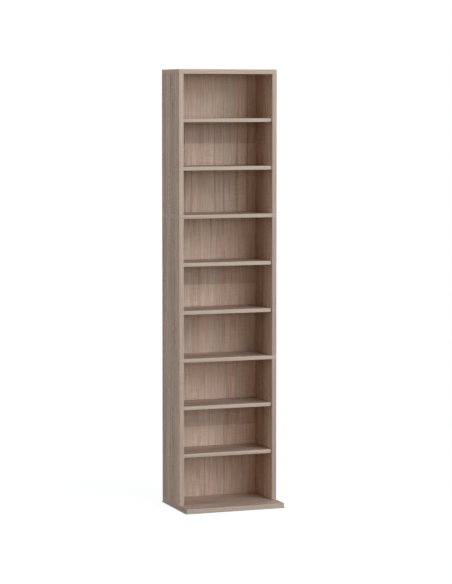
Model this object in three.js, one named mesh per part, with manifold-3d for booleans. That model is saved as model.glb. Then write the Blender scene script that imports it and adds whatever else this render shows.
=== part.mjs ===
// An open storage tower for CD and DVD cases: three levels of boards stacked on a deeper base board.
// Millimetres, +Z up, the open front faces -Y and +X is to the right as the user looks at the front.
// The origin lies on the floor, under the middle of the base board.

import * as THREE from "three";
import { mergeVertices } from "three/addons/utils/BufferGeometryUtils.js";
import Module from "manifold-3d";

const wasm = await Module();
wasm.setup();

// Driving sizes of the tower
const towerWidth = 330;
const towerDepth = 170;
const baseDepth = 240; // the base board reaches further forward than the tower
const sideHeight = 445; // side panels of the middle and upper levels
const lowestExtra = 11; // the lowest compartment is taller than the others by this much
const sideThickness = 15;
const baseThickness = 15;
const topThickness = 15;
const midThickness = 12;
const edgeEase = 0.6; // the small chamfer of a banded board edge

// Loose shelves
const shelvesPerLevel = 2;
const shelfThickness = 12;
const shelfSetback = 5; // from the front edge of the side panels
const shelfBackGap = 1; // from the face of the back sheet
const shelfEndGap = 0.3; // from the collar of a shelf pin
const shelfSeatGap = 0.2; // from the top of a shelf pin

// Back sheets and the grooves that hold them
const backThickness = 3;
const backInset = 17; // from the rear edges of the boards to the groove
const backFaceGap = 0.3; // between a sheet and each wall of its groove
const backEndGap = 0.3; // between the edge of a sheet and the floor of its groove
const sideGrooveDepth = 5;
const boardGrooveDepth = 3;

// Shelf pins, pushed into blind bores in the side panels
const pinInset = 37; // from the front and rear edges of a side panel
const pinDiameter = 5;
const pinSeatLength = 8; // the part of a pin that sits in its bore
const pinSupportLength = 8; // the part that carries the shelf
const pinCollarDiameter = 7.4;
const pinCollarThickness = 1;
const pinChamfer = 0.5;
const pinBoreGap = 0.2;

// Dowels that join the boards to the ends of the side panels
const dowelInset = 37; // from the front and rear edges of the tower
const dowelDiameter = 8;
const dowelReach = 20; // into the end of a side panel
const topDowelReach = 9; // into the underside of the top board
const dowelChamfer = 1;
const dowelFlutes = 8;
const fluteDepth = 0.4;
const dowelBoreGap = 0.2;
const dowelEndGap = 0.8; // left for glue at the bottom of a bore

// Connector screws that come up through the base board
const screwHeadDiameter = 10;
const screwRimThickness = 1;
const screwConeHeight = 2.4;
const screwShankDiameter = 7;
const screwShankLength = 9;
const screwThreadDiameter = 5;
const screwLength = 50;
const screwTipLength = 3;
const screwTipDiameter = 3;
const screwSink = 0.4; // the head lies this far inside the underside of the base
const screwBoreGap = 0.2;
const socketWidth = 4; // across the flats of the hexagon
const socketDepth = 3;

// Facets of round pieces, and how far a cutter runs past the face that it opens
const pinFacets = 8;
const boreFacets = 12;
const screwFacets = 16;
const hexagonSides = 6;
const cutOverrun = 2;

// Heights and places that follow from the sizes above
const quarterTurn = Math.PI / 2;
const innerWidth = towerWidth - 2 * sideThickness;
const sideCentre = (towerWidth - sideThickness) / 2;
const compartmentHeight = (sideHeight - shelvesPerLevel * shelfThickness) / (shelvesPerLevel + 1);
const backY = baseDepth / 2;
const towerY = backY - towerDepth / 2;
const grooveWidth = backThickness + 2 * backFaceGap;
const grooveY = towerDepth / 2 - backInset - grooveWidth / 2;
const backFaceY = grooveY - backThickness / 2;
const levels = [
  { name: "lower", height: sideHeight + lowestExtra, lowest: compartmentHeight + lowestExtra },
  { name: "middle", height: sideHeight, lowest: compartmentHeight },
  { name: "upper", height: sideHeight, lowest: compartmentHeight },
];
const [bottomLevel] = levels;
const topLevel = levels[levels.length - 1];
const sides = [
  { name: "left", direction: -1 },
  { name: "right", direction: 1 },
];
const rows = [
  { name: "front", direction: -1 },
  { name: "rear", direction: 1 },
];

// A material with the look of each kind of piece
function finish(kind) {
  const looks = {
    decor: { color: 0xb3a192, roughness: 0.62, metalness: 0 },
    backDecor: { color: 0xa89586, roughness: 0.66, metalness: 0 },
    zinc: { color: 0xb9bbbd, roughness: 0.34, metalness: 1 },
    beech: { color: 0xd3b58e, roughness: 0.8, metalness: 0 },
  };
  return new THREE.MeshStandardMaterial(looks[kind]);
}

// A named mesh at a place in its group
function piece(name, geometry, kind, x, y, z) {
  const mesh = new THREE.Mesh(geometry, finish(kind));
  mesh.name = name;
  mesh.position.set(x, y, z);
  return mesh;
}

// A closed geometry as a solid that can be joined and cut
function solidOf(geometry) {
  const bare = geometry.clone();
  bare.deleteAttribute("normal");
  bare.deleteAttribute("uv");
  const merged = mergeVertices(bare);
  const vertProperties = merged.getAttribute("position").array;
  const triVerts = new Uint32Array(merged.index.array);
  return new wasm.Manifold(new wasm.Mesh({ numProp: 3, vertProperties, triVerts }));
}

// A blank with every cutter taken out of it
function cut(blank, cutters) {
  const solid = cutters.reduce((left, cutter) => left.subtract(solidOf(cutter)), solidOf(blank));
  const mesh = solid.getMesh();
  const geometry = new THREE.BufferGeometry();
  geometry.setAttribute("position", new THREE.BufferAttribute(mesh.vertProperties, mesh.numProp));
  geometry.setIndex(new THREE.BufferAttribute(mesh.triVerts, 1));
  geometry.computeVertexNormals();
  return geometry;
}

// A board with eased edges about the origin: width along X, depth along Y, thickness along Z
function board(width, depth, thickness) {
  const x = width / 2;
  const y = depth / 2;
  const outline = new THREE.Shape([
    new THREE.Vector2(-x + edgeEase, -y),
    new THREE.Vector2(x - edgeEase, -y),
    new THREE.Vector2(x, -y + edgeEase),
    new THREE.Vector2(x, y - edgeEase),
    new THREE.Vector2(x - edgeEase, y),
    new THREE.Vector2(-x + edgeEase, y),
    new THREE.Vector2(-x, y - edgeEase),
    new THREE.Vector2(-x, -y + edgeEase),
  ]);
  const core = thickness - 2 * edgeEase;
  return new THREE.ExtrudeGeometry(outline, {
    depth: core,
    bevelThickness: edgeEase,
    bevelSize: edgeEase,
    bevelOffset: -edgeEase,
    bevelSegments: 1,
  }).translate(0, 0, -core / 2);
}

// A round cutter or blank about the origin, along X or along Z
function roundAlongX(diameter, length, facets) {
  return new THREE.CylinderGeometry(diameter / 2, diameter / 2, length, facets).rotateZ(quarterTurn);
}
function roundAlongZ(diameter, length, facets) {
  return new THREE.CylinderGeometry(diameter / 2, diameter / 2, length, facets).rotateX(quarterTurn);
}

// The distance of a pin, dowel or screw row from the middle of the tower's depth
function rowOffset(row, inset) {
  return row.direction * (towerDepth / 2 - inset);
}

// The underside of each shelf of a level, above the lower ends of its side panels
function shelfUndersides(level) {
  const pitch = compartmentHeight + shelfThickness;
  return Array.from({ length: shelvesPerLevel }, (_, i) => level.lowest + i * pitch);
}

// The axis of the pins that carry a shelf
function pinAxisUnder(underside) {
  return underside - shelfSeatGap - pinDiameter / 2;
}

// A side panel stands on its end between two boards. It has a groove down its inner face for the back
// sheet, blind bores for the shelf pins, and a bore in each end for the dowels or the connector screws.
function sidePanel(level, side) {
  const blank = board(level.height, towerDepth, sideThickness).rotateY(-quarterTurn);
  const innerX = (-side.direction * sideThickness) / 2;
  const groove = new THREE.BoxGeometry(2 * sideGrooveDepth, grooveWidth, level.height + 2 * cutOverrun);
  const cutters = [groove.translate(innerX, grooveY, 0)];
  const pinBore = pinDiameter + 2 * pinBoreGap;
  const pinBoreLength = 2 * (pinSeatLength + pinBoreGap);
  const dowelBore = dowelDiameter + 2 * dowelBoreGap;
  const screwBore = screwThreadDiameter + 2 * screwBoreGap;
  const screwReach = screwLength + screwSink - baseThickness + screwBoreGap;
  const footBore = level === bottomLevel ? screwBore : dowelBore;
  const footReach = level === bottomLevel ? screwReach : dowelReach;
  for (const row of rows) {
    for (const underside of shelfUndersides(level)) {
      const bore = roundAlongX(pinBore, pinBoreLength, pinFacets);
      const boreZ = pinAxisUnder(underside) - level.height / 2;
      cutters.push(bore.translate(innerX, rowOffset(row, pinInset), boreZ));
    }
    const head = roundAlongZ(dowelBore, 2 * dowelReach, boreFacets);
    const foot = roundAlongZ(footBore, 2 * footReach, boreFacets);
    cutters.push(head.translate(0, rowOffset(row, dowelInset), level.height / 2));
    cutters.push(foot.translate(0, rowOffset(row, dowelInset), -level.height / 2));
  }
  return cut(blank, cutters);
}

// The groove for the edge of a back sheet across a board. It stops under the side panels, out of sight.
function boardGroove(faceZ) {
  const length = innerWidth + 2 * sideGrooveDepth;
  return new THREE.BoxGeometry(length, grooveWidth, 2 * boardGrooveDepth).translate(0, grooveY, faceZ);
}

// The same cutter at the four places where the side panels are joined to a board
function atCorners(makeCutter, z) {
  return sides.flatMap((side) =>
    rows.map((row) => makeCutter().translate(side.direction * sideCentre, rowOffset(row, dowelInset), z)),
  );
}

// A board between two levels has a groove in both faces and a hole for each dowel that passes through it
function midBoard() {
  const bore = () => roundAlongZ(dowelDiameter + 2 * dowelBoreGap, midThickness + 2 * cutOverrun, boreFacets);
  const grooves = [boardGroove(-midThickness / 2), boardGroove(midThickness / 2)];
  return cut(board(towerWidth, towerDepth, midThickness), [...grooves, ...atCorners(bore, 0)]);
}

// The top board has its groove and blind dowel bores in the underside
function topBoard() {
  const bore = () => roundAlongZ(dowelDiameter + 2 * dowelBoreGap, 2 * topDowelReach, boreFacets);
  const groove = boardGroove(-topThickness / 2);
  return cut(board(towerWidth, towerDepth, topThickness), [groove, ...atCorners(bore, -topThickness / 2)]);
}

// The outline of a connector screw, or of its hole when a gap is given, from the head up to the end
function screwOutline(gap) {
  const head = screwHeadDiameter / 2 + gap;
  const shank = screwShankDiameter / 2 + gap;
  const thread = screwThreadDiameter / 2 + gap;
  const neck = screwRimThickness + screwConeHeight;
  return [
    new THREE.Vector2(0, 0),
    new THREE.Vector2(head, 0),
    new THREE.Vector2(head, screwRimThickness),
    new THREE.Vector2(shank, neck),
    new THREE.Vector2(shank, neck + screwShankLength),
    new THREE.Vector2(thread, neck + screwShankLength),
    new THREE.Vector2(thread, screwLength - screwTipLength),
    new THREE.Vector2(screwTipDiameter / 2 + gap, screwLength),
    new THREE.Vector2(0, screwLength),
  ];
}

// The base board is flush with the tower at the back and sides and reaches forward of it. Its underside
// has a countersunk hole for each connector screw, whose head lies a little inside the face.
function baseBoard() {
  const underside = -baseThickness / 2;
  const bore = () => new THREE.LatheGeometry(screwOutline(screwBoreGap), screwFacets).rotateX(quarterTurn);
  const mouth = () => roundAlongZ(screwHeadDiameter + 2 * screwBoreGap, 2 * screwSink, screwFacets);
  const holes = [...atCorners(bore, underside + screwSink), ...atCorners(mouth, underside)];
  const blank = board(towerWidth, baseDepth, baseThickness).translate(0, (towerDepth - baseDepth) / 2, 0);
  return cut(blank, [boardGroove(baseThickness / 2), ...holes]);
}

// A connector screw has a countersunk head with a hexagon socket, a plain shank and a slimmer threaded part
function screw() {
  const blank = new THREE.LatheGeometry(screwOutline(0), screwFacets).rotateX(quarterTurn);
  const acrossCorners = socketWidth / Math.cos(Math.PI / hexagonSides);
  return cut(blank, [roundAlongZ(acrossCorners, 2 * socketDepth, hexagonSides)]);
}

// A dowel is a turned rod with flutes for the glue along it and chamfered ends
function dowel(length) {
  const corners = Array.from({ length: 2 * dowelFlutes }, (_, i) => {
    const angle = (i * Math.PI) / dowelFlutes;
    const radius = dowelDiameter / 2 - (i % 2) * fluteDepth;
    return new THREE.Vector2(radius * Math.cos(angle), radius * Math.sin(angle));
  });
  const core = length - 2 * dowelChamfer;
  return new THREE.ExtrudeGeometry(new THREE.Shape(corners), {
    depth: core,
    bevelThickness: dowelChamfer,
    bevelSize: dowelChamfer,
    bevelOffset: -dowelChamfer,
    bevelSegments: 1,
  }).translate(0, 0, -core / 2);
}

// A shelf pin is turned in one piece: the end in its bore, a collar against the side panel, and the
// round end that the shelf lies on. It points along +X, with the inner face of the panel at X = 0.
function shelfPin() {
  const radius = pinDiameter / 2;
  const collar = pinCollarDiameter / 2;
  const tip = pinCollarThickness + pinSupportLength;
  const outline = [
    new THREE.Vector2(0, -pinSeatLength),
    new THREE.Vector2(radius - pinChamfer, -pinSeatLength),
    new THREE.Vector2(radius, -pinSeatLength + pinChamfer),
    new THREE.Vector2(radius, 0),
    new THREE.Vector2(collar, 0),
    new THREE.Vector2(collar, pinCollarThickness),
    new THREE.Vector2(radius, pinCollarThickness),
    new THREE.Vector2(radius, tip - pinChamfer),
    new THREE.Vector2(radius - pinChamfer, tip),
    new THREE.Vector2(0, tip),
  ];
  return new THREE.LatheGeometry(outline, pinFacets).rotateZ(-quarterTurn);
}

// A loose shelf fits between the collars of its pins and stops short of the back sheet
function shelf() {
  const width = innerWidth - 2 * (pinCollarThickness + shelfEndGap);
  const frontY = -towerDepth / 2 + shelfSetback;
  const rearY = backFaceY - shelfBackGap;
  return board(width, rearY - frontY, shelfThickness).translate(0, (frontY + rearY) / 2, 0);
}

// A back sheet stands in the grooves of the side panels and of the boards below and above it
function backSheet(level) {
  const width = innerWidth + 2 * (sideGrooveDepth - backEndGap);
  const height = level.height + 2 * (boardGrooveDepth - backEndGap);
  return new THREE.BoxGeometry(width, backThickness, height);
}

// One level: two side panels, a back sheet, and the shelves with their pins
function levelGroup(level) {
  const group = new THREE.Group();
  for (const side of sides) {
    const x = side.direction * sideCentre;
    const name = `side_${side.name}_${level.name}`;
    group.add(piece(name, sidePanel(level, side), "decor", x, 0, level.height / 2));
  }
  group.add(piece(`back_${level.name}`, backSheet(level), "backDecor", 0, grooveY, level.height / 2));
  shelfUndersides(level).forEach((underside, i) => {
    const name = `${level.name}_${i + 1}`;
    group.add(piece(`shelf_${name}`, shelf(), "decor", 0, 0, underside + shelfThickness / 2));
    for (const side of sides) {
      for (const row of rows) {
        const pinName = `pin_${name}_${side.name}_${row.name}`;
        const x = (side.direction * innerWidth) / 2;
        const y = rowOffset(row, pinInset);
        const pin = piece(pinName, shelfPin(), "zinc", x, y, pinAxisUnder(underside));
        pin.rotation.z = side.direction > 0 ? Math.PI : 0;
        group.add(pin);
      }
    }
  });
  return group;
}

// The four dowels of a joint, each from its lower end at the given height
function dowelRing(joint, lowerEnd, length) {
  const group = new THREE.Group();
  for (const side of sides) {
    for (const row of rows) {
      const x = side.direction * sideCentre;
      const y = rowOffset(row, dowelInset);
      const name = `dowel_${joint}_${side.name}_${row.name}`;
      group.add(piece(name, dowel(length), "beech", x, y, lowerEnd + length / 2));
    }
  }
  return group;
}

// The stack, from the floor up
const tower = new THREE.Group();
tower.position.y = towerY;
tower.add(piece("base_board", baseBoard(), "decor", 0, 0, baseThickness / 2));
for (const side of sides) {
  for (const row of rows) {
    const name = `screw_${side.name}_${row.name}`;
    const x = side.direction * sideCentre;
    tower.add(piece(name, screw(), "zinc", x, rowOffset(row, dowelInset), screwSink));
  }
}
let floorZ = baseThickness;
for (const level of levels) {
  const group = levelGroup(level);
  group.position.z = floorZ;
  tower.add(group);
  const ceilingZ = floorZ + level.height;
  const lowerEnd = ceilingZ - dowelReach + dowelEndGap;
  if (level === topLevel) {
    const length = dowelReach + topDowelReach - 2 * dowelEndGap;
    tower.add(dowelRing("top", lowerEnd, length));
    tower.add(piece("top_board", topBoard(), "decor", 0, 0, ceilingZ + topThickness / 2));
  } else {
    const length = 2 * (dowelReach - dowelEndGap) + midThickness;
    tower.add(dowelRing(level.name, lowerEnd, length));
    tower.add(piece(`mid_board_${level.name}`, midBoard(), "decor", 0, 0, ceilingZ + midThickness / 2));
  }
  floorZ = ceilingZ + midThickness;
}

const root = new THREE.Group();
root.add(tower);

export default root;
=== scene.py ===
import bpy
import numpy as np
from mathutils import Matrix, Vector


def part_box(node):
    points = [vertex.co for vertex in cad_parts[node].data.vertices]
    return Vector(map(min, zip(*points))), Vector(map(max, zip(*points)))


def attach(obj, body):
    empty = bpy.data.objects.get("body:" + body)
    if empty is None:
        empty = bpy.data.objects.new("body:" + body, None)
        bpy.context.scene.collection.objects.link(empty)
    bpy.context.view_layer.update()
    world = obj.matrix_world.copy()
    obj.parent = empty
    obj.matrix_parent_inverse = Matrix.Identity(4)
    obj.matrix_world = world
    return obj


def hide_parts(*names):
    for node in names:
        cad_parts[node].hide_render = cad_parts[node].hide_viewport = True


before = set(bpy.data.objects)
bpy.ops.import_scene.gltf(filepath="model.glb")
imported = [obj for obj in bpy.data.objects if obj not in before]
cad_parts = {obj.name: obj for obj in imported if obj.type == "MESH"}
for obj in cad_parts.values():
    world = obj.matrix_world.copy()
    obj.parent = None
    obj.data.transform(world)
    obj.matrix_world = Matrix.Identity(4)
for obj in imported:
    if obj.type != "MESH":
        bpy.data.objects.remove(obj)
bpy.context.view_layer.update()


# The base board
# 15 mm particle board with a printed oak foil on both faces, sawn to size. The front and both ends
# have a thin banding glued on with its outer edges rounded, printed darker as painted shade near the floor.
# The rear edge is left bare.

TOWER = "tower"
X, Y, Z = 0, 1, 2
WELD = 1e-6            # corners nearer to each other than this are one
TINY = 1e-15           # keeps a triangle with no area from a division by zero
BAND = 0.0008          # thickness of the banding
BAND_ROUND = 0.0006    # radius of its outer edges
ARC_STEPS = 5          # corners along a quarter round
BAND_SHARP = 40        # degrees; a sharper edge of the banding isn't shaded smooth
BAND_NAMES = {(X, -1): "band_x1", (X, 1): "band_x2", (Y, -1): "band_y1"}
FOIL_EASE = 0.0007     # a face this near the outside of a board belongs to its foil
FOIL_TILT = 0.6        # if its normal has at least this share along the board's thickness


def linear(code):
    """A written colour such as "b4a396" as linear red, green, blue and alpha: each part c of 0 to 1 is
    c / 12.92 where it is small, and ((c + 0.055) / 1.055) to the power of 2.4 elsewhere."""
    c = np.array([int(code[i:i + 2], 16) for i in (0, 2, 4)]) / 255
    return tuple(np.where(c < 0.04045, c / 12.92, ((c + 0.055) / 1.055) ** 2.4)) + (1.0,)


def add(tree, kind, inputs=(), **settings):
    """A shader node. An input is a plain value, or another node's socket, which is linked to it."""
    made = tree.nodes.new("ShaderNode" + kind)
    for key, value in settings.items():
        setattr(made, key, value)
    for key, value in dict(inputs).items():
        if isinstance(value, bpy.types.NodeSocket):
            tree.links.new(value, made.inputs[key])
        else:
            made.inputs[key].default_value = value
    return made


def calc(tree, operation, a, b=0.0, c=0.0):
    """One step of arithmetic on numbers that change over the surface."""
    return add(tree, "Math", {0: a, 1: b, 2: c}, operation=operation).outputs[0]


def shift(tree, operation, a, b=(0.0, 0.0, 0.0), c=(0.0, 0.0, 0.0)):
    """One step of arithmetic on places or directions."""
    return add(tree, "VectorMath", {0: a, 1: b, 2: c}, operation=operation).outputs[0]


def swing(tree, value, layer, width):
    """The value, lower by half a width where a layer is 0 and higher by half a width where it is 1."""
    return calc(tree, "MULTIPLY_ADD", layer, width, calc(tree, "SUBTRACT", value, width / 2))


def span(tree, value, low, high, to_low=0.0, to_high=1.0):
    """The value brought from one range to another, and held at its ends."""
    ranges = {"Value": value, 1: low, 2: high, 3: to_low, 4: to_high}
    return add(tree, "MapRange", ranges, interpolation_type="SMOOTHSTEP").outputs[0]


def blend(tree, share, a, b, how="MIX"):
    """Colour b over colour a, by a share from 0 to 1."""
    mixed = {"Factor": share, 6: a, 7: b}
    return add(tree, "Mix", mixed, data_type="RGBA", blend_type=how).outputs[2]


def effect(name, inputs, outputs):
    """An empty node group, with its named inputs and outputs."""
    tree = bpy.data.node_groups.new(name, "ShaderNodeTree")
    for title, kind in inputs.items():
        tree.interface.new_socket(title, in_out="INPUT", socket_type="NodeSocket" + kind)
    for title, kind in outputs.items():
        tree.interface.new_socket(title, in_out="OUTPUT", socket_type="NodeSocket" + kind)
    entry = tree.nodes.new("NodeGroupInput")
    leave = tree.nodes.new("NodeGroupOutput")
    return tree, entry.outputs, leave.inputs


def drawn(tree, place, across, along, start, detail=2.0):
    """Flat noise drawn out along the grain, with so many changes in a metre across it and along it."""
    spot = shift(tree, "MULTIPLY_ADD", place, (across, along, 0.0), (start, start, 0.0))
    noise = {"Vector": spot, "Scale": 1.0, "Detail": detail, "Roughness": 0.55}
    return add(tree, "TexNoise", noise, noise_dimensions="2D").outputs["Fac"]


def printed_oak():
    """The print of the foil, from its place across and along the grain: staves of slightly different
    lightness and hue side by side, slow bands, narrower streaks and threads over them, dark lines,
    fibres, pores, and patches with faint marks of the saw across the grain. Darker parts are warmer."""
    tree, given, made = effect(
        "printed_oak",
        {"Place": "Vector", "Contrast": "Float", "Tone": "Float", "Cool": "Color", "Warm": "Color"},
        {"Color": "Color", "Roughness": "Float", "Height": "Float"},
    )
    place = given["Place"]
    sway = swing(tree, 0.0, drawn(tree, place, 3.0, 2.2, 4.1), 0.010)
    aside = add(tree, "CombineXYZ", {"X": sway}).outputs[0]
    swayed = shift(tree, "ADD", place, aside)
    band = drawn(tree, swayed, 24.0, 0.7, 1.7)
    streak = drawn(tree, swayed, 110.0, 2.0, 5.3, 3.0)
    hue = span(tree, drawn(tree, swayed, 26.0, 0.9, 9.2, 3.0), 0.3, 0.7)
    across = add(tree, "SeparateXYZ", {0: place}).outputs[0]
    order = calc(tree, "MULTIPLY", across, 21.0)
    stave = add(tree, "TexVoronoi", {"W": order, "Scale": 1.0}, voronoi_dimensions="1D").outputs["Color"]
    kind = add(tree, "SeparateColor", {0: stave}).outputs
    line = span(tree, drawn(tree, swayed, 48.0, 0.9, 3.6, 1.0), 0.66, 0.74)
    thread = drawn(tree, swayed, 380.0, 11.0, 6.4, 1.0)
    fibre = drawn(tree, swayed, 1300.0, 34.0, 7.9, 1.0)
    pore = span(tree, drawn(tree, swayed, 2100.0, 90.0, 2.4, 1.0), 0.62, 0.74)
    patch = span(tree, drawn(tree, place, 14.0, 5.0, 8.8), 0.42, 0.62)
    saw = calc(tree, "MULTIPLY", drawn(tree, place, 30.0, 130.0, 6.7, 2.0), patch)
    light = 1.0
    for layer, width in ((band, 0.18), (kind[0], 0.12), (streak, 0.38), (thread, 0.52), (fibre, 0.26)):
        light = swing(tree, light, layer, width)
    for layer, change in ((line, -0.24), (pore, -0.14), (patch, -0.16), (saw, 0.32)):
        light = calc(tree, "MULTIPLY_ADD", layer, change, light)
    light = calc(tree, "MULTIPLY_ADD", calc(tree, "SUBTRACT", light, 1.0), given["Contrast"], 1.0)
    warmth = calc(tree, "MULTIPLY_ADD", kind[1], 0.5, calc(tree, "MULTIPLY", hue, 0.5))
    warmth = calc(tree, "MULTIPLY_ADD", calc(tree, "SUBTRACT", 1.0, light), 1.1, warmth)
    light = calc(tree, "MULTIPLY", light, given["Tone"])
    shade = blend(tree, warmth, given["Cool"], given["Warm"])
    grey = add(tree, "CombineColor", {0: light, 1: light, 2: light}).outputs[0]
    tree.links.new(blend(tree, 1.0, shade, grey, "MULTIPLY"), made["Color"])
    rough = calc(tree, "MULTIPLY_ADD", fibre, 0.16, 0.50)
    tree.links.new(calc(tree, "MULTIPLY_ADD", pore, 0.14, rough), made["Roughness"])
    height = calc(tree, "MULTIPLY_ADD", pore, -0.8, fibre)
    tree.links.new(calc(tree, "MULTIPLY_ADD", saw, -0.4, height), made["Height"])
    return tree


def pressed_wood():
    """Wood pressed with glue: each cell of a warped pattern is one chip with a tone of its own, with dark
    seams where chips meet, a fine dust and slow clouds over all. Size is that of a chip in metres."""
    tree, given, made = effect(
        "pressed_wood",
        {"Place": "Vector", "Size": "Float", "Pale": "Color", "Dark": "Color"},
        {"Color": "Color", "Roughness": "Float", "Height": "Float"},
    )
    place = given["Place"]
    count = calc(tree, "DIVIDE", 1.0, given["Size"])
    swirl = add(tree, "TexNoise", {"Vector": place, "Scale": count, "Detail": 2.0}).outputs["Color"]
    warp = {0: shift(tree, "SUBTRACT", swirl, (0.5, 0.5, 0.5)), "Scale": given["Size"]}
    reach = add(tree, "VectorMath", warp, operation="SCALE").outputs[0]
    spot = shift(tree, "ADD", place, reach)
    chip = add(tree, "TexVoronoi", {"Vector": spot, "Scale": count}).outputs["Color"]
    tone = add(tree, "SeparateColor", {0: chip}).outputs[0]
    seam = add(tree, "TexVoronoi", {"Vector": spot, "Scale": count}, feature="DISTANCE_TO_EDGE")
    gap = span(tree, seam.outputs["Distance"], 0.0, 0.09, 1.0, 0.0)
    fine = {"Vector": spot, "Scale": calc(tree, "MULTIPLY", count, 4.0)}
    dust = add(tree, "TexNoise", fine).outputs["Fac"]
    cloud = add(tree, "TexNoise", {"Vector": place, "Scale": 16.0, "Detail": 3.0}).outputs["Fac"]
    dark = calc(tree, "MULTIPLY_ADD", tone, 0.55, calc(tree, "MULTIPLY", gap, 0.45))
    dark = swing(tree, swing(tree, dark, dust, 0.4), cloud, 0.7)
    dark = calc(tree, "MINIMUM", calc(tree, "MAXIMUM", dark, 0.0), 1.0)
    tree.links.new(blend(tree, dark, given["Pale"], given["Dark"]), made["Color"])
    tree.links.new(calc(tree, "MULTIPLY_ADD", tone, 0.15, 0.78), made["Roughness"])
    tree.links.new(calc(tree, "MULTIPLY_ADD", gap, -0.8, tone), made["Height"])
    return tree


def emptied(owner):
    """The node tree of a material or a world, with nothing in it."""
    owner.use_nodes = True
    owner.node_tree.nodes.clear()
    return owner.node_tree


def finish(name, specular, depth, strength):
    """A material with its main shader, whose normal follows a height map of a given depth in metres."""
    material = bpy.data.materials.new(name)
    tree = emptied(material)
    shader = add(tree, "BsdfPrincipled", {"Specular IOR Level": specular})
    add(tree, "OutputMaterial", {"Surface": shader.outputs[0]})
    relief = add(tree, "Bump", {"Strength": strength, "Distance": depth})
    tree.links.new(relief.outputs["Normal"], shader.inputs["Normal"])
    return material, tree, shader.inputs, relief.inputs["Height"]


def dress(tree, group, values, shader, height):
    """Places an effect in a material, with its own values, and joins its outputs to the shader."""
    result = add(tree, "Group", values, node_tree=group).outputs
    tree.links.new(result["Color"], shader["Base Color"])
    tree.links.new(result["Roughness"], shader["Roughness"])
    tree.links.new(result["Height"], height)


PRINTED_OAK = printed_oak()
PRESSED_WOOD = pressed_wood()
MATT_LACQUER = (0.15, 0.00012, 0.5)      # its specular, and the depth and strength of its relief
FACE_HUES = (linear("baa593"), linear("c3a18a"))     # the cool and the warm colour of the print
BAND_HUES = (linear("c0aa98"), linear("c3a996"))


def foil(name, contrast, tone, hues):
    """The printed oak foil, lacquered matt. It follows the piece's own map, called grain."""
    material, tree, shader, height = finish(name, *MATT_LACQUER)
    place = add(tree, "UVMap", uv_map="grain").outputs[0]
    values = {"Place": place, "Contrast": contrast, "Tone": tone, "Cool": hues[0], "Warm": hues[1]}
    dress(tree, PRINTED_OAK, values, shader, height)
    return material


def bare_board(name, size, pale, dark):
    """Pressed wood left bare, where a board is sawn, grooved or bored."""
    material, tree, shader, height = finish(name, 0.2, 0.0003, 0.6)
    place = add(tree, "TexCoord").outputs["Object"]
    values = {"Place": place, "Size": size, "Pale": linear(pale), "Dark": linear(dark)}
    dress(tree, PRESSED_WOOD, values, shader, height)
    return material


BAND_CONTRAST = 0.5      # the print of the bandings is much calmer than that of the faces
FACE_FOIL = foil("face_foil", 1.5, 1.0, FACE_HUES)
BAND_FOIL = foil("band_foil", BAND_CONTRAST, 1.05, BAND_HUES)
# painted shade: the base's bandings are printed darker (tone 0.93), standing in for the shade near the
# floor
BASE_BAND_PAINTED_SHADE = foil("base_band_painted_shade_foil", BAND_CONTRAST, 0.93, BAND_HUES)
BARE_BOARD = bare_board("bare_particle_board", 0.0022, "d0b08c", "8f6a4c")


def placed(name, data):
    """A new object in the scene."""
    thing = bpy.data.objects.new(name, data)
    bpy.context.scene.collection.objects.link(thing)
    return thing


def build(name, corners, faces, materials, body):
    """A mesh from its corners and faces, with its materials, that rides on a body."""
    mesh = bpy.data.meshes.new(name)
    mesh.from_pydata(corners, [], faces)
    for material in materials:
        mesh.materials.append(material)
    piece = placed(name, mesh)
    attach(piece, body)
    return piece


def soften(piece, degrees):
    """Shades a mesh smooth, apart from edges sharper than an angle."""
    piece.data.polygons.foreach_set("use_smooth", np.ones(len(piece.data.polygons), bool))
    piece.data.set_sharp_from_angle(angle=np.radians(degrees))


def corner_numbers(mesh):
    """For every corner of every face, the number of the mesh's corner there."""
    numbers = np.empty(len(mesh.loops), np.int32)
    mesh.loops.foreach_get("vertex_index", numbers)
    return numbers


def lay_map(mesh, spots, name="grain"):
    """Writes a map of two numbers for every corner of every face. Grain is the place on the printed foil,
    across the grain and along it, in metres."""
    layer = mesh.uv_layers.new(name=name)
    layer.uv.foreach_set("vector", np.ascontiguousarray(spots, np.float32).ravel())


def welded(corners, triangles):
    """Corners that lie on the same spot become one, and triangles with no area left are dropped."""
    grid = np.round(np.asarray(corners, float) / WELD).astype(np.int64)
    spots, place = np.unique(grid, axis=0, return_inverse=True)
    t = place.reshape(-1)[triangles]
    whole = (t[:, 0] != t[:, 1]) & (t[:, 1] != t[:, 2]) & (t[:, 2] != t[:, 0])
    return spots * WELD, t[whole]


def shell_of(node):
    """The corners and triangles of a CAD node, welded together."""
    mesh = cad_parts[node].data
    corners = np.empty(len(mesh.vertices) * 3, np.float32)
    mesh.vertices.foreach_get("co", corners)
    return welded(corners.reshape(-1, 3), corner_numbers(mesh).reshape(-1, 3))


def tube_faces(rows, columns, turned_in=False):
    """Four-sided faces over a closed tube of rows and columns of corners, and one face over each end."""
    i, j = np.meshgrid(np.arange(rows - 1), np.arange(columns), indexing="ij")
    k = (j + 1) % columns
    quads = np.stack([i * columns + j, i * columns + k, (i + 1) * columns + k, (i + 1) * columns + j], -1)
    quads = quads.reshape(-1, 4)
    first, last = np.arange(columns)[::-1], (rows - 1) * columns + np.arange(columns)
    if turned_in:
        quads, first, last = quads[:, ::-1], first[::-1], last[::-1]
    return quads.tolist(), [first.tolist(), last.tolist()]


FACE_CUT = 0.61              # the two faces of a board are cut this far apart on the printed foil
FRONT_CUT = (0.9, 0.4)       # and a board's front banding this far from its faces
END_CUT = 1.3                # and the bandings of its ends this far, across the grain


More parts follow.
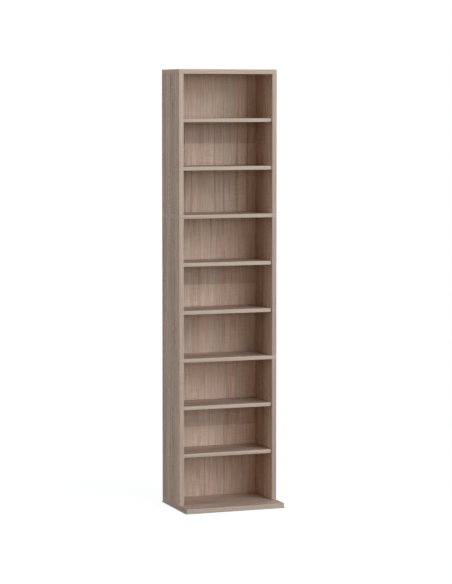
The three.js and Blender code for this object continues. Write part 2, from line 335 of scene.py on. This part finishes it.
def faced_board(node, body, thickness, along, banded, cut, foiled):
    """A copy of a CAD board. Its banded edges are set back by the banding. A triangle belongs to the foil
    when it faces along the thickness and lies on the outside; the rest is bare. The map's first part is
    the place across the grain, its second the place along it, both from where the foil was cut."""
    corners, triangles = shell_of(node)
    low, high = corners.min(0), corners.max(0)
    for axis, side in banded:
        if side < 0:
            corners[:, axis] = np.maximum(corners[:, axis], low[axis] + BAND)
        else:
            corners[:, axis] = np.minimum(corners[:, axis], high[axis] - BAND)
    corners, triangles = welded(corners, triangles)
    a, b, c = (corners[triangles[:, i]] for i in range(3))
    normal = np.cross(b - a, c - a)
    normal /= np.maximum(np.linalg.norm(normal, axis=1, keepdims=True), TINY)
    facing = normal[:, thickness]
    outside = np.where(facing > 0, high[thickness], low[thickness])
    depth = np.abs((a + b + c)[:, thickness] / 3 - outside)
    bare = (np.abs(facing) < FOIL_TILT) | (depth > FOIL_EASE)
    piece = build(node + "_faced", corners, triangles.tolist(), [foiled, BARE_BOARD], body)
    piece.data.polygons.foreach_set("material_index", bare.astype(np.int32))
    across = X + Y + Z - thickness - along
    spots = corners[triangles][:, :, [across, along]] + np.array(cut)
    spots[:, :, 0] += np.where(facing > 0, 0.0, FACE_CUT)[:, None]
    lay_map(piece.data, spots)
    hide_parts(node)


def banding(node, body, edge, side, run, behind, cut, foiled):
    """A strip of banding on one edge of a board. Its cross-section is flat on the glued side and has two
    quarter rounds outside. It is carried straight along the run, and at each end the section gets
    shallower by a quarter round. behind is where it starts, from the board's front."""
    low, high = (np.array(corner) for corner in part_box(node))
    width_axis = X + Y + Z - edge - run
    half = (high[width_axis] - low[width_axis]) / 2
    turn = np.linspace(0, np.pi / 2, ARC_STEPS)
    rise, inset = BAND - BAND_ROUND + BAND_ROUND * np.sin(turn), BAND_ROUND * (1 - np.cos(turn))
    depth = np.concatenate([[0], rise, rise[::-1], [0]])
    over = np.concatenate([[-half], inset - half, (half - inset)[::-1], [half]])
    length = high[run] - low[run] - behind
    steps = np.concatenate([inset, (length - inset)[::-1]])
    share = np.concatenate([rise, rise[::-1]]) / BAND
    corners = np.zeros((len(steps), len(over), 3))
    corners[:, :, run] = (low[run] + behind + steps)[:, None]
    corners[:, :, width_axis] = (low + high)[width_axis] / 2 + over[None, :]
    glued = low[edge] + BAND if side < 0 else high[edge] - BAND
    corners[:, :, edge] = glued + side * depth[None, :] * share[:, None]
    axes = np.zeros((3, 3))
    axes[0, width_axis] = axes[1, run] = 1
    axes[2, edge] = side
    quads, caps = tube_faces(*corners.shape[:2], turned_in=np.linalg.det(axes) > 0)
    name = f"{node}_{BAND_NAMES[edge, side]}"
    piece = build(name, corners.reshape(-1, 3), quads + caps, [foiled], body)
    spots = np.stack(np.broadcast_arrays(over[None, :], steps[:, None]), -1).reshape(-1, 2) + np.array(cut)
    lay_map(piece.data, spots[corner_numbers(piece.data)])
    soften(piece, BAND_SHARP)


def banded_board(node, body, ends, cut, foiled=FACE_FOIL, edged=BAND_FOIL):
    """A level board with its grain along X: foil on its faces, a band along its front, and on its ends."""
    edges = [(Y, -1)] + [(X, side) for side in ends]
    faced_board(node, body, Z, X, edges, cut, foiled)
    banding(node, body, Y, -1, X, 0.0, (cut[0] + FRONT_CUT[0], cut[1] + FRONT_CUT[1]), edged)
    for side in ends:
        banding(node, body, X, side, Y, BAND, (cut[0] + END_CUT, cut[1] + side), edged)


# the base's bandings take the darker foil, which is painted shade near the floor
banded_board("base_board", TOWER, (-1, 1), (2.0, 5.0), edged=BASE_BAND_PAINTED_SHADE)


# The connector screws
# Four steel screws, zinc plated, driven up through the base board into the lower side panels. The head
# is countersunk in the underside and has a hexagon socket. The shank is plain, the rest is threaded.

MM = 0.001
AROUND = 48              # corners in a ring round an axis
TURN = np.arange(AROUND) * 2 * np.pi / AROUND
TURNED_SHARP = 35        # degrees; a sharper edge of a turned piece isn't shaded smooth
SOCKET_FLAT = 2.0 * MM   # from the axis to a flat of the hexagon
SCREW_SOCKET = np.array([(3.0, 0.97), (0.2, 1.0), (0.0, 1.06)])    # height in mm, share of the hexagon
SCREW_HEAD = np.array([                                            # height and radius in mm
    (0.0, 4.8), (0.2, 5.0), (1.0, 5.0), (3.4, 3.5), (12.2, 3.5), (12.6, 3.3), (13.1, 2.0),
])
SCREW_TIP = np.array([(48.5, 1.8), (49.7, 1.3), (50.0, 0.8)])
THREAD_START, THREAD_END = 13.5 * MM, 47.0 * MM
THREAD_CORE, THREAD_CREST = 2.0 * MM, 2.5 * MM
THREAD_PITCH = 3.0 * MM
THREAD_STEPS = 10        # stations along each turn of the thread
RIDGE_HALF = 0.22        # half the width of the thread's ridge, as a share of the pitch
CORNERS = [(side, row) for side in ("left", "right") for row in ("front", "rear")]


def plated_steel():
    """Zinc on turned steel: fine rings round the axis, and a mottled dull bloom."""
    tree, given, made = effect(
        "plated_steel",
        {"Place": "Vector", "Rings": "Vector", "Tint": "Color", "Dull": "Color"},
        {"Color": "Color", "Roughness": "Float", "Height": "Float"},
    )
    ring = add(tree, "TexNoise", {"Vector": given["Rings"], "Scale": 1.0, "Detail": 2.0}).outputs["Fac"]
    bloom = add(tree, "TexNoise", {"Vector": given["Place"], "Scale": 700.0, "Detail": 3.0}).outputs["Fac"]
    dull = span(tree, bloom, 0.35, 0.7)
    tree.links.new(blend(tree, dull, given["Tint"], given["Dull"]), made["Color"])
    rough = calc(tree, "MULTIPLY_ADD", dull, 0.20, 0.36)
    tree.links.new(calc(tree, "MULTIPLY_ADD", ring, 0.1, rough), made["Roughness"])
    tree.links.new(ring, made["Height"])
    return tree


PLATED_STEEL = plated_steel()


def zinc(name, stretch):
    """Zinc plated steel whose turned rings are close along the axis that the stretch names."""
    material, tree, shader, height = finish(name, 0.5, 0.00004, 0.4)
    shader["Metallic"].default_value = 1.0
    place = add(tree, "TexCoord").outputs["Object"]
    rings = add(tree, "Mapping", {"Vector": place, "Scale": stretch}).outputs[0]
    values = {"Place": place, "Rings": rings, "Tint": linear("a8a39b"), "Dull": linear("807b73")}
    dress(tree, PLATED_STEEL, values, shader, height)
    return material


def turned(name, heights, radii, foot, axis, material, slot):
    """A body round an axis: at each height and angle the surface lies at the given radius. The heights
    run from end to end, and a fan of triangles closes each end on the axis."""
    heights, axis = np.asarray(heights, float), np.asarray(axis, float)
    radii = np.broadcast_to(np.asarray(radii, float).reshape(len(heights), -1), (len(heights), AROUND))
    side = np.roll(np.abs(axis), 1)
    other = np.cross(axis, side)
    ring = np.cos(TURN)[:, None] * side + np.sin(TURN)[:, None] * other
    corners = heights[:, None, None] * axis + radii[:, :, None] * ring[None]
    poles = np.stack([heights[0] * axis, heights[-1] * axis])
    quads, _ = tube_faces(len(heights), AROUND)
    here = np.arange(AROUND)
    after = (here + 1) % AROUND
    count = len(heights) * AROUND
    first = np.stack([np.full(AROUND, count), after, here], -1)
    last = np.stack([np.full(AROUND, count + 1), here + count - AROUND, after + count - AROUND], -1)
    corners = np.concatenate([corners.reshape(-1, 3), poles]) + np.asarray(foot, float)
    piece = build(name, corners, quads + first.tolist() + last.tolist(), [material], TOWER)
    soften(piece, TURNED_SHARP)
    return piece


def screw_surface():
    """The screw from the floor of its socket out over the head and up to the tip. In the socket the
    radius is that of a hexagon: the flat's distance over the cosine of the angle from the flat's middle.
    On the thread it is the core plus a ridge that climbs one pitch for each turn."""
    sixth = np.pi / 3
    hexagon = SOCKET_FLAT / np.cos((TURN + sixth / 2) % sixth - sixth / 2)
    climbed = THREAD_END - THREAD_START
    climb = np.linspace(THREAD_START, THREAD_END, int(climbed / THREAD_PITCH * THREAD_STEPS))
    turn = (climb[:, None] / THREAD_PITCH - TURN[None, :] / (2 * np.pi)) % 1.0
    ridge = np.clip(1 - np.abs(turn - 0.5) / RIDGE_HALF, 0, 1)
    begun, left = (climb - THREAD_START) / THREAD_PITCH, (THREAD_END - climb) / THREAD_PITCH
    fade = np.clip(begun, 0, 1) * np.clip(left, 0, 1)
    thread = THREAD_CORE + (THREAD_CREST - THREAD_CORE) * ridge * fade[:, None]
    round_parts = MM * np.ones(AROUND)
    heights = [MM * SCREW_SOCKET[:, 0], MM * SCREW_HEAD[:, 0], climb, MM * SCREW_TIP[:, 0]]
    radii = [SCREW_SOCKET[:, 1:] * hexagon, SCREW_HEAD[:, 1:] * round_parts, thread,
             SCREW_TIP[:, 1:] * round_parts]
    return np.concatenate(heights), np.concatenate(radii)


def upright(node):
    """The middle of the lower end of an upright CAD piece, and its height."""
    low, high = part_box(node)
    return ((low.x + high.x) / 2, (low.y + high.y) / 2, low.z), high.z - low.z


SCREW_ZINC = zinc("screw_zinc", (90.0, 90.0, 2600.0))
SCREW_HEIGHTS, SCREW_RADII = screw_surface()
for side, row in CORNERS:
    node = f"screw_{side}_{row}"
    foot, _ = upright(node)
    piece = turned(node + "_threaded", SCREW_HEIGHTS, SCREW_RADII, foot, (0, 0, 1), SCREW_ZINC,
                   "connector_screw")
    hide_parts(node)


# The side panels
# Six panels of the same board, two for each level, standing on their ends with the grain upright. The
# front edge is banded. The groove for the back sheet and the bores are cut into bare board.

LEVELS = ("lower", "middle", "upper")
PANEL_FOIL = foil("panel_foil", 1.6, 1.0, FACE_HUES)
# for each side, where its foil is cut across the print, and the tones of its front bandings from the lower
# level up.
# Each lower banding is painted darker, as painted shade for the light that falls off towards the floor; the
# right side's are darker than the left's
PANELS = (
    ("left", 18.834, (0.925, 0.99, 1.075)),
    ("right", 3.7, (0.83, 0.89, 0.975)),
)
for side, across, painted_shade_tones in PANELS:
    for level, tone in zip(LEVELS, painted_shade_tones):
        node = f"side_{side}_{level}"
        faced_board(node, TOWER, X, Z, [(Y, -1)], (across, 0.0), PANEL_FOIL)
        # painted shade: each banding gets its own tone, darker the lower it stands
        edged = foil(node + "_band_foil", BAND_CONTRAST, tone, BAND_HUES)
        banding(node, TOWER, Y, -1, Z, 0.0, (across + FRONT_CUT[0], 0.0), edged)


# The shelf pins
# Four turned steel pins under each loose shelf, pushed into blind bores in the side panels. A collar
# sits against the panel, and the shelf lies on the round end.

PIN_ZINC = zinc("pin_zinc", (2600.0, 90.0, 90.0))
PIN_OUTLINE = MM * np.array([        # distance from the end in the bore, and radius
    (0.0, 1.70), (0.15, 2.10), (0.5, 2.42), (0.9, 2.45), (7.6, 2.45), (7.75, 2.30), (8.0, 2.30),
    (8.0, 3.45), (8.1, 3.62), (8.3, 3.70), (8.7, 3.70), (8.9, 3.62), (9.0, 3.45), (9.0, 2.45),
    (9.15, 2.40), (9.4, 2.48), (16.2, 2.48), (16.6, 2.38), (16.85, 2.15), (17.0, 1.75),
])
for level in LEVELS:
    for shelf in (1, 2):
        for side, row in CORNERS:
            node = f"pin_{level}_{shelf}_{side}_{row}"
            low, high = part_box(node)
            start, way = (low.x, 1) if side == "left" else (high.x, -1)
            foot = (start, (low.y + high.y) / 2, (low.z + high.z) / 2)
            piece = turned(node + "_turned", PIN_OUTLINE[:, 0], PIN_OUTLINE[:, 1], foot, (way, 0, 0),
                           PIN_ZINC, "shelf_pin")
            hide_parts(node)


# The back sheets
# One 3 mm hardboard sheet for each level, held in the grooves. Its face has the oak foil, laid in two
# lengths that meet at half height: each is lightest at its top. The rear is bare brown hardboard.

SHEET_EASE = 0.3 * MM     # how far the long edges are eased
SHEET_STEPS = 13          # stations from the lower end to the upper one; the middle one is at half height
FRONT_TILT = -0.9         # the face with the foil has its normal's Y below this
LENGTH_TOP = 0.9999       # the top of a length of foil, just short of where the next one starts
SHEET_TONE, TONE_RISE = 0.86, 0.22     # the tone at the foot of each length, and how far it gets lighter
SHEET_CUTS = {"lower": (8.03, 2.0), "middle": (5.42, 0.0), "upper": (10.172, 0.0)}


def sheet_foil():
    """The oak foil of the back sheets. The second part of the map called lengths is the height counted in
    lengths of foil; its sawtooth sets the tone."""
    material, tree, shader, height = finish("sheet_foil", *MATT_LACQUER)
    place = add(tree, "UVMap", uv_map="grain").outputs[0]
    rise = add(tree, "SeparateXYZ", {0: add(tree, "UVMap", uv_map="lengths").outputs[0]}).outputs[1]
    tone = calc(tree, "MULTIPLY_ADD", calc(tree, "FRACT", rise), TONE_RISE, SHEET_TONE)
    cool, warm = FACE_HUES
    values = {"Place": place, "Contrast": 1.08, "Tone": tone, "Cool": cool, "Warm": warm}
    dress(tree, PRINTED_OAK, values, shader, height)
    return material


SHEET_FOIL = sheet_foil()
HARDBOARD = bare_board("bare_hardboard", 0.0006, "98714f", "6c4a32")


def back_sheet(level, cut):
    """A sheet in its grooves: a rectangle with slightly eased long edges, carried up from its lower end
    to its upper one."""
    node = f"back_{level}"
    low, high = (np.array(corner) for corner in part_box(node))
    e = SHEET_EASE
    outline = np.array([
        (low[X] + e, low[Y]), (high[X] - e, low[Y]), (high[X], low[Y] + e), (high[X], high[Y] - e),
        (high[X] - e, high[Y]), (low[X] + e, high[Y]), (low[X], high[Y] - e), (low[X], low[Y] + e),
    ])
    corners = np.zeros((SHEET_STEPS, len(outline), 3))
    corners[:, :, :Z] = outline[None]
    corners[:, :, Z] = np.linspace(low[Z], high[Z], SHEET_STEPS)[:, None]
    corners = corners.reshape(-1, 3)
    quads, caps = tube_faces(SHEET_STEPS, len(outline))
    piece = build(node + "_sheet", corners, quads + caps, [SHEET_FOIL, HARDBOARD], TOWER)
    normals = np.empty(len(piece.data.polygons) * 3, np.float32)
    piece.data.polygons.foreach_get("normal", normals)
    bare = normals.reshape(-1, 3)[:, Y] > FRONT_TILT
    piece.data.polygons.foreach_set("material_index", bare.astype(np.int32))
    spots = corners[corner_numbers(piece.data)]
    lay_map(piece.data, spots[:, [X, Z]] + np.array(cut))
    half = (high[Z] - low[Z]) / 2
    lengths = (spots[:, Z] - low[Z]) / half * LENGTH_TOP
    lay_map(piece.data, np.stack([spots[:, X], lengths], -1), "lengths")
    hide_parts(node)


for level in LEVELS:
    back_sheet(level, SHEET_CUTS[level])


# The dowels
# Fluted beech dowels: eight long ones through the mid boards into the panels above and below, and four
# short ones up into the top board. Their ends are chamfered, and the flutes carry the glue.

DOWEL_RADIUS = 4.0 * MM
DOWEL_END = np.array([(0.0, 0.76), (0.35, 0.86), (1.0, 1.0)])    # mm from the end, share of the radius
FLUTES = 8
FLUTE_DEPTH = 0.4 * MM


def beech():
    """Bare beech: a pale ground with fine fibres along Z, and the short dark flecks of its rays."""
    material, tree, shader, height = finish("bare_beech", 0.25, 0.0001, 0.5)
    where = add(tree, "TexCoord").outputs["Object"]
    fibre = add(tree, "Mapping", {"Vector": where, "Scale": (1500.0, 1500.0, 60.0)}).outputs[0]
    fleck = add(tree, "Mapping", {"Vector": where, "Scale": (1900.0, 1900.0, 420.0)}).outputs[0]
    fine = add(tree, "TexNoise", {"Vector": fibre, "Scale": 1.0, "Detail": 2.0}).outputs["Fac"]
    ray = add(tree, "TexNoise", {"Vector": fleck, "Scale": 1.0, "Detail": 1.0}).outputs["Fac"]
    dark = calc(tree, "MULTIPLY_ADD", span(tree, ray, 0.6, 0.72), 0.5, calc(tree, "MULTIPLY", fine, 0.5))
    tree.links.new(blend(tree, dark, linear("dcbf98"), linear("b58d62")), shader["Base Color"])
    tree.links.new(calc(tree, "MULTIPLY_ADD", fine, 0.2, 0.66), shader["Roughness"])
    tree.links.new(fine, height)
    return material


def dowel_surface(length):
    """A dowel from end to end. Round the axis its radius is less by the flute's depth times the square of
    a wave from 0 to 1, once for each flute, and towards each end it shrinks to that of the chamfer."""
    flute = FLUTE_DEPTH * (0.5 + 0.5 * np.cos(FLUTES * TURN)) ** 2
    inward, share = MM * DOWEL_END[:, 0], DOWEL_END[:, 1]
    heights = np.concatenate([inward, length - inward[::-1]])
    taper = np.concatenate([share, share[::-1]])
    return heights, taper[:, None] * (DOWEL_RADIUS - flute[None, :])


BEECH = beech()
for joint in ("lower", "middle", "top"):
    for side, row in CORNERS:
        node = f"dowel_{joint}_{side}_{row}"
        foot, length = upright(node)
        piece = turned(node + "_fluted", *dowel_surface(length), foot, (0, 0, 1), BEECH, "dowel")
        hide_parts(node)


# The mid boards
# Two fixed boards between the levels, 12 mm thick, flush with the sides. Their banded ends show
# in the sides of the tower. A groove in each face holds the edges of the back sheets.

# painted shade: the faces of the mid boards and shelves are printed darker (tone 0.93), for the shadow of
# the boards above them
SHADED_INNER_FOIL = foil("inner_foil_painted_shade", 1.5, 0.93, FACE_HUES)
banded_board("mid_board_lower", TOWER, (-1, 1), (9.0, 1.0), SHADED_INNER_FOIL)
banded_board("mid_board_middle", TOWER, (-1, 1), (11.0, 3.0), SHADED_INNER_FOIL)


# The top board
# 15 mm board laid over the ends of the upper side panels, banded on its front and both ends. It is held
# by the short dowels, and its underside has the groove for the upper back sheet.

banded_board("top_board", TOWER, (-1, 1), (13.0, 7.0))


# The loose shelves
# Six 12 mm boards that lie on the pins a little behind the front edges, and pull straight out. Only the
# front edge is banded; the ends and the rear edge are bare.

for step, level in enumerate(LEVELS):
    for shelf in (1, 2):
        node = f"shelf_{level}_{shelf}"
        cut = (15.0 + 1.7 * step, 9.0 + 2.9 * shelf)     # each from another stretch of the print
        # the shelf faces take the darker inner foil, which is painted shade
        banded_board(node, node, (), cut, SHADED_INNER_FOIL)


# The room
# A plain pale floor that fades into a white surround, with a painted contact shadow round the base. Six
# wide soft lamps stand far off: two right of the front, one before it, two to the left and one behind. The
# camera looks slightly down from the left.

FLOOR_RADIUS = 9.0
FLOOR_CORNERS = 96
FLOOR_GLOW = 0.90
FLOOR_FADE = (0.6, 2.4)             # from the middle, where the floor starts to turn white, and where it is
FOOTPRINT = (0.165, 0.120, 0.0)     # half the base board
# the floor's glow is dimmed close round the base: a painted contact shadow
PAINTED_SHADOW_WIDTH = 0.008               # this close to the footprint the floor lies in the contact shade
PAINTED_SHADOW_GLOW = 0.12                 # share of its glow that the floor has under the edge of the base
WORLD_LIGHT = 0.05
MIDDLE = np.array((0.0, 0.0, 0.7))  # the point that the lamps stand round
LAMP_DISTANCE = 16.0
COOL_LIGHT = (0.88, 1.0, 1.13)      # daylight through a wide white cloth
WARM_LIGHT = (1.12, 1.0, 0.86)      # light thrown back by the room
SKY_LIGHT = (0.82, 1.0, 1.33)       # a window to the left
WHITE = (1.0, 1.0, 1.0, 1.0)


def seen_directly(tree):
    """1 for rays from the camera, a reflection or glass, and 0 for the light that falls on the object."""
    path = add(tree, "LightPath").outputs
    seen = calc(tree, "MAXIMUM", path["Is Camera Ray"], path["Is Glossy Ray"])
    return calc(tree, "MAXIMUM", seen, path["Is Transmission Ray"])


world = bpy.data.worlds.new("surround")
tree = emptied(world)
strength = calc(tree, "MULTIPLY_ADD", seen_directly(tree), 1.0 - WORLD_LIGHT, WORLD_LIGHT)
sky = add(tree, "Background", {"Color": WHITE, "Strength": strength})
add(tree, "OutputWorld", {"Surface": sky.outputs[0]})
bpy.context.scene.world = world

turn = np.linspace(0, 2 * np.pi, FLOOR_CORNERS, endpoint=False)
rim = FLOOR_RADIUS * np.stack([np.cos(turn), np.sin(turn), 0 * turn], -1)
floor_mesh = bpy.data.meshes.new("floor")
floor_mesh.from_pydata(rim, [], [list(range(FLOOR_CORNERS))])
floor = placed("floor", floor_mesh)
paint = bpy.data.materials.new("pale_floor")
tree = emptied(paint)
where = add(tree, "TexCoord").outputs["Object"]
mottle = add(tree, "TexNoise", {"Vector": where, "Scale": 3.0}).outputs["Fac"]
pale = blend(tree, mottle, (0.23, 0.22, 0.20, 1), (0.26, 0.25, 0.23, 1))
matt = add(tree, "BsdfDiffuse", {"Color": pale})
# painted contact shadow: the glow fades out towards the edge of the base's footprint
outside = shift(tree, "SUBTRACT", shift(tree, "ABSOLUTE", where), FOOTPRINT)
outside = {0: shift(tree, "MAXIMUM", outside)}
beyond = add(tree, "VectorMath", outside, operation="LENGTH").outputs["Value"]
glow_with_painted_shadow = span(tree, beyond, 0.0, PAINTED_SHADOW_WIDTH, PAINTED_SHADOW_GLOW * FLOOR_GLOW, FLOOR_GLOW)
glow = add(tree, "Emission", {"Color": WHITE, "Strength": glow_with_painted_shadow})
near = add(tree, "AddShader", {0: glow.outputs[0], 1: matt.outputs[0]})
white = add(tree, "Emission", {"Color": WHITE, "Strength": 1.0})
distance = add(tree, "VectorMath", {0: where}, operation="LENGTH").outputs["Value"]
away = span(tree, distance, *FLOOR_FADE)
shown = add(tree, "MixShader", {0: away, 1: near.outputs[0], 2: white.outputs[0]})
look = add(tree, "MixShader", {0: seen_directly(tree), 1: matt.outputs[0], 2: shown.outputs[0]})
add(tree, "OutputMaterial", {"Surface": look.outputs[0]})
floor_mesh.materials.append(paint)


def softbox(name, azimuth, elevation, width, height, level, tint=COOL_LIGHT):
    """A wide lamp round the tower at an azimuth from the front, to the right, and an elevation. At the
    tower it gives a white face turned to it the brightness of its level: power = (pi distance)^2 level."""
    lamp = bpy.data.lights.new(name, "AREA")
    lamp.shape = "RECTANGLE"
    lamp.size, lamp.size_y = width, height
    lamp.energy = level * (np.pi * LAMP_DISTANCE) ** 2
    lamp.color = tint
    holder = placed(name, lamp)
    a, e = np.radians((azimuth, elevation))
    way = np.array((np.sin(a) * np.cos(e), -np.cos(a) * np.cos(e), np.sin(e)))
    holder.location = MIDDLE + LAMP_DISTANCE * way
    holder.rotation_euler = (np.pi / 2 - e, 0.0, a)
    holder.visible_camera = False


softbox("low_front", 30.0, 6.0, 13.0, 4.4, 0.31)
softbox("low_middle", -8.0, 6.0, 8.0, 4.4, 0.125, WARM_LIGHT)
softbox("high_front", 32.0, 27.0, 13.0, 6.0, 0.57)
softbox("low_left", -76.0, 6.0, 6.0, 4.4, 0.155, WARM_LIGHT)
softbox("high_left", -90.0, 45.0, 8.0, 8.0, 0.25, SKY_LIGHT)
softbox("behind", 125.0, 7.0, 10.0, 4.6, 0.60)

# the place, turn, lens and shift that put the edges of the tower where the photo has them
eye = bpy.data.cameras.new("camera")
eye.sensor_fit = "AUTO"
eye.sensor_width = 36.0
eye.lens = 138.06
eye.shift_y = -0.10
eye.clip_end = 60.0
camera = placed("camera", eye)
camera.location = (-2.4572, -6.7238, 1.3100)
camera.rotation_euler = np.radians((90.0 - 3.472, 0.0, -20.154))
bpy.context.scene.camera = camera
bpy.context.scene.view_settings.view_transform = "Standard"
